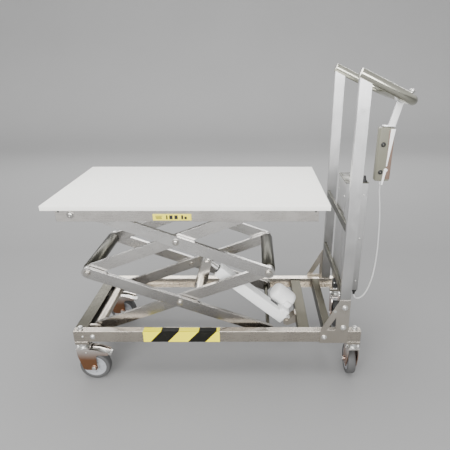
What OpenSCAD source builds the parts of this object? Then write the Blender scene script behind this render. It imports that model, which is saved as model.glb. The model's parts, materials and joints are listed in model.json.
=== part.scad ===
// Mobile double scissor lift table, stainless, battery driven.
// Millimetres, +Z up, +X towards the push handle, origin on the floor under the middle.

/* [Table] */
// Length of the table board
board_l = 1000; // [900:10:1100]
// Width of the table board
board_w = 525; // [480:5:600]
// Thickness of the table board
board_t = 18; // [12:1:25]
// Height of the board's top face at rest
board_top = 785; // [775:1:795]

/* [Scissor] */
// Distance between the end pivots of one arm
arm_l = 750; // [740:1:760]
// Depth of an arm bar
arm_h = 45; // [38:1:50]
// Thickness of an arm bar
arm_t = 15; // [10:1:18]
// Height of the lower pivots
z_bot = 216; // [214:1:218]
// Height of the upper pivots at rest
z_top = 742; // [740:1:744]
// X of the fixed pivots
x_piv = -549; // [-560:1:-540]

/* [Base] */
// Left end of the base rails
base_x0 = -625; // [-632:1:-615]
// Right end of the base rails
base_x1 = 523; // [510:1:535]
// Outer half width of the base
base_hw = 225; // [210:1:240]
// Underside of the base rails
base_z = 191; // [185:1:195]
// Height of every channel
ch_h = 50; // [50:1:50]
// Width of the channel flanges
ch_w = 30; // [28:1:34]
// Wall of the channels
ch_t = 3; // [2.5:0.5:4]

/* [Uprights] */
// X of the uprights' table side
up_x = 429; // [420:1:440]
// Width of an upright
up_w = 40; // [35:1:50]
// Thickness of an upright
up_t = 20; // [15:1:25]
// Centre height of the handle tube over the uprights
hand_z = 1205; // [1180:1:1220]
// Radius of the handle tube
hand_r = 16.85; // [15:0.05:20]

/* [Castors] */
// Wheel radius
wheel_r = 62.5; // [60:0.5:65]
// Wheel width
wheel_w = 34; // [30:1:38]
// Trail of the wheel behind its swivel
trail = 38; // [34:1:42]

/* [Hidden] */
dz = (z_top - z_bot) / 2;
z_mid = z_bot + dz;
span = sqrt(arm_l * arm_l - dz * dz);
x_rol = x_piv + span;
x_cen = x_piv + span / 2;
ang = asin(dz / arm_l);
board_x = -132 - 8;
board_z = board_top - board_t;
table_hw = 235;
table_z = board_z - ch_h;
out_y = 165;
in_y = 147;
pin_r = 8;
run = 0.05;
rol_r = 21.6;
// actuator pivots, lengths and ratios chosen so that constant ratios follow the lift
act_a = [238, 196];
act_p = [-95, 478];
act_y = -75;
act_d = sqrt(pow(act_p[0] - act_a[0], 2) + pow(act_p[1] - act_a[1], 2));
act_ang = atan2(act_p[1] - act_a[1], act_p[0] - act_a[0]);
tor = [-125, 376];
// handle, sloped plane
slope = 25;
bend_r = 60;
arm_y = 215;
hx = up_x + up_w / 2;
reach = (640 - hand_r - hx) / cos(slope);
grip_x = 640 - hand_r;
grip_z = hand_z - reach * sin(slope);
// castors
cas_x = [-601, 500];
cas_y = 203;
// battery box
bt = [441, 525, -100, 36, 356, 818];
steel = [0.72, 0.71, 0.68];
dark = [0.2, 0.2, 0.2];
$fn = 48;

function arc(c, r, a0, a1, n) =
    [for (i = [0:n]) [c[0] + r * cos(a0 + (a1 - a0) * i / n), c[1] + r * sin(a0 + (a1 - a0) * i / n)]];
function slot_pts(l, r, n) = concat(arc([l, 0], r, -90, 90, n), arc([0, 0], r, 90, 270, n));

// a cylinder along Y from y0 to y1
module ycyl(x, z, r, y0, y1) {
    translate([x, y1, z])
        rotate([90, 0, 0])
            cylinder(r = r, h = y1 - y0);
}

// the same on both sides, given distances from the middle plane
module ypair(x, z, r, d0, d1) {
    ycyl(x, z, r, d0, d1);
    ycyl(x, z, r, -d1, -d0);
}

// plate in the XZ plane between y0 and y1, points are [x, z]
module plate(pts, y0, y1) {
    translate([0, y1, 0])
        rotate([90, 0, 0])
            linear_extrude(height = y1 - y0)
                polygon(pts);
}

// one scissor arm from (x0, z0), at angle a, between y0 and y0 + arm_t
module arm(x0, z0, a, y0) {
    difference() {
        translate([x0, y0 + arm_t, z0])
            rotate([90, -a, 0])
                linear_extrude(height = arm_t)
                    polygon(slot_pts(arm_l, arm_h / 2, 14));
        ycyl(x0, z0, pin_r + run, y0 - 1, y0 + arm_t + 1);
        ycyl(x0 + arm_l / 2 * cos(a), z0 + arm_l / 2 * sin(a), pin_r + run, y0 - 1, y0 + arm_t + 1);
        ycyl(x0 + arm_l * cos(a), z0 + arm_l * sin(a), pin_r + run, y0 - 1, y0 + arm_t + 1);
    }
}

// C channel, open towards the middle; s = -1 front, 1 rear
module channel(x0, x1, z0, hw, s) {
    y0 = s > 0 ? hw - ch_w : -hw;
    ci = s > 0 ? hw - ch_w - 1 : -hw + ch_t;
    difference() {
        translate([x0, y0, z0])
            cube([x1 - x0, ch_w, ch_h]);
        translate([x0 - 1, ci, z0 + ch_t])
            cube([x1 - x0 + 2, ch_w - ch_t + 1, ch_h - 2 * ch_t]);
    }
}

// ---- base ----
module base_rail_front() {
    color(steel) channel(base_x0, base_x1, base_z, base_hw, -1);
}

module base_rail_rear() {
    color(steel) channel(base_x0, base_x1, base_z, base_hw, 1);
}

module rhs_y(x0, x1, z0, z1, hw, t) {
    difference() {
        translate([x0, -hw, z0])
            cube([x1 - x0, 2 * hw, z1 - z0]);
        translate([x0 + t, -hw - 1, z0 + t])
            cube([x1 - x0 - 2 * t, 2 * hw + 2, z1 - z0 - 2 * t]);
    }
}

module base_end_member() {
    color(steel) rhs_y(base_x0, base_x0 + 50, base_z, base_z + ch_h, base_hw - ch_w, 2);
}

module actuator_cross_member() {
    color(steel) rhs_y(275, 320, base_z, base_z + 45, base_hw - ch_w, 2.5);
}

module base_cross_member() {
    color(steel) rhs_y(378, 410, base_z, base_z + ch_h, base_hw - ch_w, 2);
}

module castor_pads() {
    color(steel)
        for (x = [base_x0, base_x1 - 54], s = [-1, 1])
            translate([x, s > 0 ? 181 : -base_hw, base_z - 15])
                cube([54, base_hw - 181, 15]);
}

module pivot_lugs() {
    color(steel) {
        ycyl(x_piv, z_bot, 20, -141.5, 141.5);
        for (s = [-1, 1]) {
            l0 = s > 0 ? 165 : -177;
            plate(concat([[base_x0 + 50, base_z + 2]], arc([x_piv, z_bot], 22, -90, 90, 12),
                [[base_x0 + 50, base_z + ch_h - 3]]), l0, l0 + 12);
            ypin(x_piv, z_bot, 141, 146.7, 15, s);
            ypin(x_piv, z_bot, 146, 166, pin_r, s);
            ypin(x_piv, z_bot, 162.3, 165.5, 14, s);
            ypin(x_piv, z_bot, 176.5, 184, 13, s);
        }
    }
}

module ypin(x, z, d0, d1, r, s) {
    ycyl(x, z, r, s > 0 ? d0 : -d1, s > 0 ? d1 : -d0);
}

module actuator_bracket() {
    color(steel)
        difference() {
            union() {
                for (y = [act_y - 22, act_y + 16])
                    plate(concat([[275, base_z + 2]], [[275, base_z + 43]],
                        arc(act_a, 17, 60, 270, 12)), y, y + 6);
                translate([269, act_y - 16, base_z + 2])
                    cube([6, 32, 41]);
                ycyl(act_a[0], act_a[1], 6, act_y - 25, act_y + 25);
                ycyl(act_a[0], act_a[1], 10, act_y - 27, act_y - 22);
                ycyl(act_a[0], act_a[1], 10, act_y + 22, act_y + 27);
            }
        }
}

// ---- uprights, handle ----
module gusset(s) {
    y0 = s > 0 ? base_hw : -base_hw - 3;
    gx = up_x + up_w;
    difference() {
        plate([[359, base_z - 3], [gx, base_z - 3], [gx, 386],
            [up_x - 1, 386], [359, base_z + 59]], y0, y0 + 3);
        plate([[384, base_z + 59], [418, base_z + 59], [418, base_z + 118]], y0 - 1, y0 + 4);
        ycyl(hx, 353, 5, y0 - 1, y0 + 4);
        ycyl(hx, 262, 5, y0 - 1, y0 + 4);
        ycyl(376, 216, 5, y0 - 1, y0 + 4);
    }
}

module gusset_front() { color(steel) gusset(-1); }

module gusset_rear() { color(steel) gusset(1); }

module gusset_bolts() {
    color([0.8, 0.8, 0.8])
        for (s = [-1, 1], p = [[hx, 353], [hx, 262], [376, 216]]) {
            ypin(p[0], p[1], base_hw, base_hw + 3.5, 5, s);
            ypin(p[0], p[1], base_hw + 3, base_hw + 8, 8.5, s);
        }
}

module upright(s) {
    y0 = s > 0 ? base_hw - up_t : -base_hw;
    difference() {
        translate([up_x, y0, base_z + ch_h])
            cube([up_w, up_t, hand_z - base_z - ch_h]);
        translate([up_x + 2, y0 + 2, base_z + ch_h - 1])
            cube([up_w - 4, up_t - 4, hand_z]);
        translate([hx, s * arm_y, hand_z])
            rotate([0, 90 + slope, 0])
                cylinder(r = hand_r, h = 200, center = true);
    }
}

module upright_front() { color(steel) upright(-1); }

module upright_rear() { color(steel) upright(1); }

module cross_bars() {
    color(steel)
        for (z = [660, 405])
            translate([up_x, -base_hw + up_t, z])
                cube([12, 2 * (base_hw - up_t), 30]);
}

module push_handle() {
    color(steel)
        translate([hx, 0, hand_z])
            rotate([0, slope, 0]) {
                for (s = [-1, 1]) {
                    translate([-20, s * arm_y, 0])
                        rotate([0, 90, 0])
                            cylinder(r = hand_r, h = reach - bend_r + 20);
                    translate([reach - bend_r, s * (arm_y - bend_r), 0])
                        rotate([0, 0, s > 0 ? 0 : -90])
                            rotate_extrude(angle = 90)
                                translate([bend_r, 0])
                                    circle(r = hand_r);
                }
                translate([reach, arm_y - bend_r, 0])
                    rotate([90, 0, 0])
                        cylinder(r = hand_r, h = 2 * (arm_y - bend_r));
            }
}

// ---- battery and control ----
module battery_tray() {
    color(steel)
        difference() {
            translate([bt[0], bt[2], bt[4]])
                cube([bt[1] - bt[0], bt[3] - bt[2], bt[5] - bt[4]]);
            translate([bt[0] + 2, bt[2] + 2, bt[4] + 2])
                cube([bt[1] - bt[0] - 4, bt[3] - bt[2] - 4, bt[5] - bt[4]]);
        }
}

module battery_pack() {
    color(dark)
        translate([bt[0] + 5, bt[2] + 5, bt[4] + 2])
            cube([bt[1] - bt[0] - 10, bt[3] - bt[2] - 10, 444]);
}

module battery_plug() {
    color(dark)
        translate([506, -92, bt[4] + 446])
            cube([13, 20, 38]);
}

module cord_gland() {
    color(dark) {
        translate([513, -90, bt[4] - 10])
            cylinder(r = 9, h = 10);
        translate([513, -90, bt[4] - 24])
            cylinder(r = 6.5, h = 15);
    }
}

module socket_box() {
    color(dark)
        translate([bt[0] - 18, -98, 358])
            cube([18, 34, 36]);
}

// ---- hand control ----
module handset_hanger() {
    color(steel) {
        difference() {
            union() {
                ycyl(grip_x, grip_z, hand_r + 3, -60, -36);
                plate([[612, 1110], [588, 1019], [614, 1019], [636, 1110]], -54, -46);
            }
            ycyl(grip_x, grip_z, hand_r, -61, -35);
            translate([grip_x + 10, -61, grip_z - 10])
                cube([20, 26, 40]);
        }
        translate([570, -60, 1019])
            cube([44, 24, 3]);
    }
}

module handset_body() {
    color([0.35, 0.34, 0.3])
        difference() {
            union() {
                translate([0, 0, 815])
                    linear_extrude(height = 200)
                        polygon([[556, -58], [562, -66], [606, -66], [612, -58],
                            [612, -36], [606, -30], [562, -30], [556, -36]]);
                translate([572, -56, 1015])
                    cube([24, 16, 4]);
                translate([584, -48, 797])
                    cylinder(r = 6, h = 18);
            }
            ycyl(574, 955, 9.4, -67, -60);
            ycyl(574, 850, 9.4, -67, -60);
        }
}

module button(z) {
    color([0.85, 0.85, 0.82])
        ycyl(574, z, 9, -68, -62.5);
}

module handset_button_up() { button(955); }

module handset_button_down() { button(850); }

// cord route, points given by hand
cord_pts = [[584, -48, 797], [584, -48, 772], [588, -48, 742], [593, -48, 705], [597, -48, 665], [600, -48, 620],
    [602, -49, 575], [603, -50, 530], [602, -52, 485], [599, -55, 442], [593, -60, 402], [584, -65, 366],
    [572, -71, 337], [557, -77, 317], [541, -83, 308], [527, -87, 309], [517, -89.5, 318], [513, -90, 332]];
cord_r = 3;

function unit(v) = v / norm(v);
function cdir(p, i) = unit(p[min(i + 1, len(p) - 1)] - p[max(i - 1, 0)]);
function crm(p, t) = 0.5 * ((2 * p[1]) + (p[2] - p[0]) * t + (2 * p[0] - 5 * p[1] + 4 * p[2] - p[3]) * t * t
    + (3 * p[1] - p[0] - 3 * p[2] + p[3]) * t * t * t);
function fine(p, n) = concat([for (i = [0:len(p) - 2], k = [0:n - 1])
    crm([p[max(i - 1, 0)], p[i], p[i + 1], p[min(i + 2, len(p) - 1)]], k / n)], [p[len(p) - 1]]);

module handset_cord() {
    q = fine(cord_pts, 3);
    m = len(q);
    k = 8;
    rings = [for (i = [0:m - 1], j = [0:k - 1])
        let (d = cdir(q, i), a = unit(cross([0, 1, 0], d)), b = cross(d, a))
        q[i] + cord_r * (cos(360 * j / k) * a + sin(360 * j / k) * b)];
    color([0.85, 0.85, 0.85])
        polyhedron(
            points = rings,
            faces = concat([[for (j = [0:k - 1]) j]], [[for (j = [0:k - 1]) (m - 1) * k + k - 1 - j]],
                [for (i = [0:m - 2], j = [0:k - 1])
                    [i * k + j, (i + 1) * k + j, (i + 1) * k + (j + 1) % k, i * k + (j + 1) % k]]));
}

// ---- castors: local frame, swivel axis at the origin, wheel trails +X ----
module place(i, s, a) {
    translate([cas_x[i], s * cas_y, 0])
        rotate([0, 0, a])
            children();
}

module castor_heads() {
    color([0.85, 0.85, 0.85])
        for (i = [0, 1], s = [-1, 1])
            place(i, s, 0) {
                translate([0, 0, 166])
                    cylinder(r = 21, h = base_z - 15 - 166);
                translate([0, 0, 156])
                    cylinder(r = 17, h = 11);
                translate([0, 0, 148])
                    cylinder(r = 6, h = 9);
                translate([0, 0, 142])
                    cylinder(r = 9, h = 7);
            }
}

module fork(braked) {
    color(steel) {
        difference() {
            translate([-24, -22.5, 150.5])
                cube([52, 45, 4.5]);
            translate([0, 0, 140])
                cylinder(r = 6.05, h = 30);
        }
        for (y = [-22.5, 19.5])
            difference() {
                plate(concat([[-24, 151], [-22, 118]], arc([trail - 32, wheel_r + 3], 15, 180, 270, 6),
                    arc([trail, wheel_r], 14, 250, 375, 10),
                    braked ? [[50, 112], [58, 124], [99, 122], [104, 127], [100, 133], [60, 147], [40, 151]]
                        : [[48, 112], [44, 134], [28, 151]]), y, y + 3);
                ycyl(14, 137, 3, y - 1, y + 4);
                ycyl(trail, wheel_r, 5, y - 1, y + 4);
            }
        ycyl(trail, wheel_r, 6, -19.5, 19.5);
        ycyl(trail, wheel_r, 5, -22.5, 22.5);
        ycyl(trail, wheel_r, 10, 22.5, 27);
        ycyl(trail, wheel_r, 10, -27, -22.5);
    }
}

module wheel() {
    color([0.55, 0.55, 0.56])
        translate([trail, wheel_w / 2, wheel_r])
            rotate([90, 0, 0])
                difference() {
                    rotate_extrude($fn = 72)
                        polygon([[6.05, -1.4], [16, -1.4], [18, 4], [42, 4], [44, 0], [57, 0], [61, 3], [wheel_r, 9],
                            [wheel_r, wheel_w - 9], [61, wheel_w - 3], [57, wheel_w], [44, wheel_w], [42, wheel_w - 4],
                            [18, wheel_w - 4], [16, wheel_w + 1.4], [6.05, wheel_w + 1.4]]);
                }
}

module pedal() {
    color([0.8, 0.8, 0.8]) {
        difference() {
            ycyl(14, 137, 6, -18.8, 18.8);
            ycyl(14, 137, 3.05, -20, 20);
        }
        plate([[18, 141.5], [19, 137.5], [60, 137.5], [92, 124], [106, 124],
            [108, 127], [94, 127.5], [62, 141.5]], -15, 15);
    }
}

module pedal_pin() {
    ycyl(14, 137, 3, -22.5, 22.5);
}

module castor_fork_front_left() { place(0, -1, 0) { fork(true); color(steel) pedal_pin(); } }

module castor_fork_rear_left() { place(0, 1, 0) { fork(true); color(steel) pedal_pin(); } }

module castor_fork_front_right() { place(1, -1, 90) { fork(false); color(steel) pedal_pin(); } }

module castor_fork_rear_right() { place(1, 1, -90) { fork(false); color(steel) pedal_pin(); } }

module castor_wheel_front_left() { place(0, -1, 0) wheel(); }

module castor_wheel_rear_left() { place(0, 1, 0) wheel(); }

module castor_wheel_front_right() { place(1, -1, 90) wheel(); }

module castor_wheel_rear_right() { place(1, 1, -90) wheel(); }

module brake_pedal_front() { place(0, -1, 0) pedal(); }

module brake_pedal_rear() { place(0, 1, 0) pedal(); }

// ---- scissor ----
module lower_inner_arm_front() { color(steel) arm(x_piv, z_bot, ang, -in_y - arm_t); }

module lower_inner_arm_rear() { color(steel) arm(x_piv, z_bot, ang, in_y); }

module lower_outer_arm_front() { color(steel) arm(x_piv, z_mid, -ang, -out_y - arm_t); }

module lower_outer_arm_rear() { color(steel) arm(x_piv, z_mid, -ang, out_y); }

module upper_inner_arm_front() { color(steel) arm(x_piv, z_mid, ang, -in_y - arm_t); }

module upper_inner_arm_rear() { color(steel) arm(x_piv, z_mid, ang, in_y); }

module upper_outer_arm_front() { color(steel) arm(x_piv, z_top, -ang, -out_y - arm_t); }

module upper_outer_arm_rear() { color(steel) arm(x_piv, z_top, -ang, out_y); }

// cross tube with journals and heads, carried by the inner arms
module joint_shaft(x, z) {
    color(steel) {
        ycyl(x, z, 26, -in_y, in_y);
        ypair(x, z, pin_r, in_y - 1, 181);
        ypair(x, z, 14, in_y + arm_t, out_y - 0.3);
        ypair(x, z, 13, out_y + arm_t + 0.4, 188);
    }
}

module mid_right_shaft() { joint_shaft(x_rol, z_mid); }

module mid_left_shaft() { joint_shaft(x_piv, z_mid); }

module centre_pins(z) {
    color(steel) {
        ypair(x_cen, z, 13, in_y - 6, in_y);
        ypair(x_cen, z, pin_r, in_y - 1, 181);
        ypair(x_cen, z, 14, in_y + arm_t, out_y - 0.3);
        ypair(x_cen, z, 13, out_y + arm_t + 0.4, 187);
    }
}

module lower_centre_pins() { centre_pins(z_bot + dz / 2); }

module upper_centre_pins() { centre_pins(z_mid + dz / 2); }

// torque tube with two lever plates that the actuator pushes
module lift_lever() {
    color(steel)
        difference() {
            union() {
                ycyl(tor[0], tor[1], 22, -in_y, in_y);
                for (y = [act_y - 21, act_y + 15])
                    plate(concat(arc(act_p, 18, -20, 160, 10), arc(tor, 26, 170, 350, 14)), y, y + 6);
                ycyl(act_p[0], act_p[1], 6.5, act_y - 26, act_y + 26);
                ycyl(act_p[0], act_p[1], 10, act_y - 27, act_y - 21);
                ycyl(act_p[0], act_p[1], 10, act_y + 21, act_y + 27);
            }
        }
}

module lower_roller_shaft() {
    color(steel) {
        ycyl(x_rol, z_bot, pin_r, -220.5, 220.5);
        ypair(x_rol, z_bot, 12, out_y - 7, out_y);
        ypair(x_rol, z_bot, 12, out_y + arm_t, 198.6);
    }
}

module upper_roller_shaft() {
    color(steel) {
        ycyl(x_rol, z_top, pin_r, -230.5, 230.5);
        ypair(x_rol, z_top, 12, in_y - 7, in_y);
        ypair(x_rol, z_top, 12, in_y + arm_t, 208.6);
    }
}

module roller_pair(z, d0, d1) {
    color([0.9, 0.9, 0.88])
        for (s = [-1, 1])
            difference() {
                ypin(x_rol, z, d0, d1, rol_r, s);
                ypin(x_rol, z, d0 - 1, d1 + 1, pin_r + run, s);
            }
}

module lower_rollers() { roller_pair(z_bot, 199, 220); }

module upper_rollers() { roller_pair(z_top, 209, 230); }

// ---- actuator, built lying along +X then turned ----
module act_place() {
    translate([act_a[0], act_y, act_a[1]])
        rotate([0, -act_ang, 0])
            children();
}

module actuator_body() {
    color([0.9, 0.9, 0.88])
        act_place()
            difference() {
                union() {
                    ycyl(0, 0, 15, -15.7, 15.7);
                    translate([0, -15, -14])
                        cube([34, 30, 28]);
                    translate([20, -25, -23])
                        cube([act_d - 56 - 20, 50, 46]);
                    translate([22, -25, -42])
                        cube([40, 50, 60]);
                    translate([26, 0, -66])
                        cube([32, 56, 50]);
                    translate([16, 50, -56])
                        rotate([0, 90, 0])
                            cylinder(r = 38, h = 106);
                }
                ycyl(0, 0, 6.05, -30, 30);
                translate([90, 0, 0])
                    rotate([0, 90, 0])
                        cylinder(r = 11.4, h = act_d);
            }
}

module actuator_rod() {
    color([0.85, 0.85, 0.85])
        act_place()
            difference() {
                union() {
                    translate([120, 0, 0])
                        rotate([0, 90, 0])
                            cylinder(r = 11, h = act_d - 120 - 12);
                    ycyl(act_d, 0, 18, -13, 13);
                }
                ycyl(act_d, 0, 12.8, -14, 14);
            }
}

// ---- table ----
module table_board() {
    color([0.93, 0.92, 0.87])
        translate([board_x - board_l / 2, -board_w / 2, board_z])
            cube([board_l, board_w, board_t]);
}

module table_rail(s) {
    color(steel)
        difference() {
            channel(-602, 324, table_z, table_hw, s);
            ypin(x_piv, z_top, table_hw - 5, table_hw + 1, pin_r, s);
        }
}

module table_rail_front() { table_rail(-1); }

module table_rail_rear() { table_rail(1); }

module table_cross_members() {
    color(steel) {
        rhs_y(-602, -577, board_z - 30, board_z, table_hw - ch_w, 2);
        rhs_y(294, 324, board_z - 30, board_z, table_hw - ch_w, 2);
    }
}

module table_pivot_pins() {
    color(steel) {
        ypair(x_piv, z_top, pin_r, 158, table_hw);
        ypair(x_piv, z_top, 13, 157, out_y - 0.4);
        ypair(x_piv, z_top, 14, out_y + arm_t + 0.4, table_hw - ch_t);
        ypair(x_piv, z_top, 12, table_hw, table_hw + 6);
    }
}

base_rail_front();
base_rail_rear();
base_end_member();
actuator_cross_member();
base_cross_member();
castor_pads();
pivot_lugs();
actuator_bracket();
gusset_front();
gusset_rear();
gusset_bolts();
upright_front();
upright_rear();
cross_bars();
push_handle();
battery_tray();
battery_pack();
battery_plug();
cord_gland();
socket_box();
handset_hanger();
handset_body();
handset_button_up();
handset_button_down();
handset_cord();
castor_heads();
castor_fork_front_left();
castor_fork_rear_left();
castor_fork_front_right();
castor_fork_rear_right();
castor_wheel_front_left();
castor_wheel_rear_left();
castor_wheel_front_right();
castor_wheel_rear_right();
brake_pedal_front();
brake_pedal_rear();
lower_inner_arm_front();
lower_inner_arm_rear();
lower_outer_arm_front();
lower_outer_arm_rear();
upper_inner_arm_front();
upper_inner_arm_rear();
upper_outer_arm_front();
upper_outer_arm_rear();
mid_right_shaft();
mid_left_shaft();
lower_centre_pins();
upper_centre_pins();
lift_lever();
lower_roller_shaft();
upper_roller_shaft();
lower_rollers();
upper_rollers();
actuator_body();
actuator_rod();
table_board();
table_rail_front();
table_rail_rear();
table_cross_members();
table_pivot_pins();
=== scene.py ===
import json
import math
import bmesh
import bpy
from mathutils import Matrix, Vector


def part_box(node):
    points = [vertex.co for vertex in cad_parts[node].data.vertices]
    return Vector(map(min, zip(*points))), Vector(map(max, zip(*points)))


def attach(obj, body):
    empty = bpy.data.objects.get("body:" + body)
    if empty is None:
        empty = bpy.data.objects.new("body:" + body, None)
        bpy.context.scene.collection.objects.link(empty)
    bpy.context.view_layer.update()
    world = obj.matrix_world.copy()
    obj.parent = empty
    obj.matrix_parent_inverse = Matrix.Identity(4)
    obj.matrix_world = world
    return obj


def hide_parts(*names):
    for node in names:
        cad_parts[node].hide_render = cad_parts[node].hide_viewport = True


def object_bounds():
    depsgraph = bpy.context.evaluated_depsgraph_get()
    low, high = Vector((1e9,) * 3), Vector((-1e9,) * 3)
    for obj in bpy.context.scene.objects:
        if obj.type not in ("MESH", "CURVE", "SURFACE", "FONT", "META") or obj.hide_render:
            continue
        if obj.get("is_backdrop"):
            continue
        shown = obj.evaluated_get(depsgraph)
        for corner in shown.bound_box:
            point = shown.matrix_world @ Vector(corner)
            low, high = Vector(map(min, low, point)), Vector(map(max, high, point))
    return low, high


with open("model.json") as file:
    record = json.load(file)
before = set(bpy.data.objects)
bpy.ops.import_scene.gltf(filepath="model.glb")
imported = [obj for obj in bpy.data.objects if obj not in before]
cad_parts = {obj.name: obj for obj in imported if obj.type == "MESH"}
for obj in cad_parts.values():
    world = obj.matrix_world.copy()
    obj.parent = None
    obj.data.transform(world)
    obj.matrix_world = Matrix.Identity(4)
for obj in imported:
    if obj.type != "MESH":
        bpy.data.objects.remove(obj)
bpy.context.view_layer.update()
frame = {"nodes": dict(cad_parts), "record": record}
NODES = frame["nodes"]
MM = 0.001

# ------------------------------------------------------------------ camera
scene = bpy.context.scene
cam_data = bpy.data.cameras.new("camera")
cam = bpy.data.objects.new("camera", cam_data)
scene.collection.objects.link(cam)
cam.location = (0.096, -1.620, 1.280)
cam.rotation_euler = (math.radians(68.1), 0, 0)
cam_data.sensor_width = 36
cam_data.lens = 33.86
cam_data.shift_x = -0.0644
cam_data.shift_y = -0.0113
cam_data.clip_start = 0.02
scene.camera = cam


# ------------------------------------------------------------------ shader tools
def group(name, ins, outs):
    tree = bpy.data.node_groups.new(name, "ShaderNodeTree")
    for label, kind, value in ins:
        s = tree.interface.new_socket(name=label, in_out="INPUT", socket_type=kind)
        if value is not None:
            s.default_value = value
    for label, kind in outs:
        tree.interface.new_socket(name=label, in_out="OUTPUT", socket_type=kind)
    return tree, tree.nodes.new("NodeGroupInput"), tree.nodes.new("NodeGroupOutput")


def put(tree, kind, links=(), **props):
    n = tree.nodes.new(kind)
    for k, v in props.items():
        if k.startswith("i_"):
            n.inputs[k[2:].replace("_", " ")].default_value = v
        else:
            setattr(n, k, v)
    for sock, src in links:
        tree.links.new(src, n.inputs[sock])
    return n


def noise(tree, vec, scale, detail=2.0, rough=0.5, distortion=0.0):
    return put(tree, "ShaderNodeTexNoise", [("Vector", vec)], i_Scale=scale, i_Detail=detail,
               i_Roughness=rough, i_Distortion=distortion).outputs["Fac"]


def math_node(tree, op, a, b=None, clamp=False):
    n = tree.nodes.new("ShaderNodeMath")
    n.operation = op
    n.use_clamp = clamp
    for i, v in enumerate((a, b)):
        if v is None:
            continue
        if isinstance(v, (int, float)):
            n.inputs[i].default_value = v
        else:
            tree.links.new(v, n.inputs[i])
    return n.outputs[0]


def remap(tree, src, a0, a1, b0, b1):
    n = put(tree, "ShaderNodeMapRange", [("Value", src)])
    for label, v in (("From Min", a0), ("From Max", a1), ("To Min", b0), ("To Max", b1)):
        n.inputs[label].default_value = v
    return n.outputs["Result"]


def blend_colour(tree, fac, a, b, mode="MIX"):
    n = tree.nodes.new("ShaderNodeMix")
    n.data_type = "RGBA"
    n.blend_type = mode
    for label, v in ((0, fac), (6, a), (7, b)):
        if isinstance(v, (int, float)):
            n.inputs[label].default_value = v
        elif isinstance(v, tuple):
            n.inputs[label].default_value = v if len(v) == 4 else v + (1,)
        else:
            tree.links.new(v, n.inputs[label])
    return n.outputs[2]


# long ground lines along local X, broad bands and patchy handling marks
G_GRAIN, gi, go = group("ground grain", [("Vector", "NodeSocketVector", None),
                                         ("Tone", "NodeSocketColor", None),
                                         ("Dull", "NodeSocketFloat", 0.35)],
                        [("Colour", "NodeSocketColor"), ("Roughness", "NodeSocketFloat"),
                         ("Height", "NodeSocketFloat")])
t = G_GRAIN
long_map = put(t, "ShaderNodeMapping", [("Vector", gi.outputs["Vector"])])
long_map.inputs["Scale"].default_value = (0.02, 1, 1)
fine = noise(t, long_map.outputs[0], 1500, 3, 0.65)
band = noise(t, long_map.outputs[0], 170, 2, 0.5)
patch = noise(t, gi.outputs["Vector"], 9, 4, 0.55, 0.4)
spots = noise(t, gi.outputs["Vector"], 55, 3, 0.6)
tone = math_node(t, "ADD", remap(t, fine, 0.3, 0.7, -0.028, 0.028), remap(t, band, 0.3, 0.7, -0.022, 0.022))
tone = math_node(t, "ADD", tone, remap(t, patch, 0.3, 0.7, -0.03, 0.03))
tone = math_node(t, "ADD", tone, 1.0)
tint = put(t, "ShaderNodeCombineColor", [("Red", tone), ("Green", tone), ("Blue", tone)]).outputs[0]
t.links.new(blend_colour(t, 1.0, gi.outputs["Tone"], tint, "MULTIPLY"), go.inputs["Colour"])
r = math_node(t, "ADD", gi.outputs["Dull"], remap(t, fine, 0.3, 0.7, -0.06, 0.06))
r = math_node(t, "ADD", r, remap(t, patch, 0.35, 0.7, -0.04, 0.07))
r = math_node(t, "ADD", r, remap(t, spots, 0.55, 0.75, 0.0, 0.06))
t.links.new(r, go.inputs["Roughness"])
t.links.new(math_node(t, "ADD", fine, math_node(t, "MULTIPLY", band, 0.12)), go.inputs["Height"])

# fine pebbled skin with soft cloudy tone, for paint and moulded plastic
G_SKIN, gi, go = group("pebbled skin", [("Vector", "NodeSocketVector", None),
                                        ("Tone", "NodeSocketColor", None),
                                        ("Grain Size", "NodeSocketFloat", 900.0),
                                        ("Dull", "NodeSocketFloat", 0.4), ("Soil", "NodeSocketFloat", 0.1)],
                       [("Colour", "NodeSocketColor"), ("Roughness", "NodeSocketFloat"),
                        ("Height", "NodeSocketFloat")])
t = G_SKIN
peb = put(t, "ShaderNodeTexNoise", [("Vector", gi.outputs["Vector"]), ("Scale", gi.outputs["Grain Size"])],
          i_Detail=2.0).outputs["Fac"]
cloud = noise(t, gi.outputs["Vector"], 7, 5, 0.6, 0.5)
scuff = noise(t, gi.outputs["Vector"], 38, 5, 0.7, 1.2)
soil_and_painted_shade = math_node(t, "MULTIPLY", remap(t, cloud, 0.42, 0.75, 0.0, 1.0), gi.outputs["Soil"])
soil2 = math_node(t, "MULTIPLY", remap(t, scuff, 0.6, 0.8, 0.0, 1.0), gi.outputs["Soil"])
dirty = math_node(t, "ADD", soil_and_painted_shade, soil2, True)
shade = blend_colour(t, 1.0, gi.outputs["Tone"], (0.45, 0.43, 0.38), "MULTIPLY")
base = blend_colour(t, dirty, gi.outputs["Tone"], shade)
pv = remap(t, peb, 0.3, 0.7, 0.965, 1.035)
t.links.new(blend_colour(t, 1.0, base, put(t, "ShaderNodeCombineColor",
                                           [("Red", pv), ("Green", pv), ("Blue", pv)]).outputs[0],
                         "MULTIPLY"), go.inputs["Colour"])
rr = math_node(t, "ADD", gi.outputs["Dull"], remap(t, peb, 0.3, 0.7, -0.04, 0.04))
t.links.new(math_node(t, "ADD", rr, math_node(t, "MULTIPLY", dirty, 0.25)), go.inputs["Roughness"])
t.links.new(peb, go.inputs["Height"])


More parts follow.
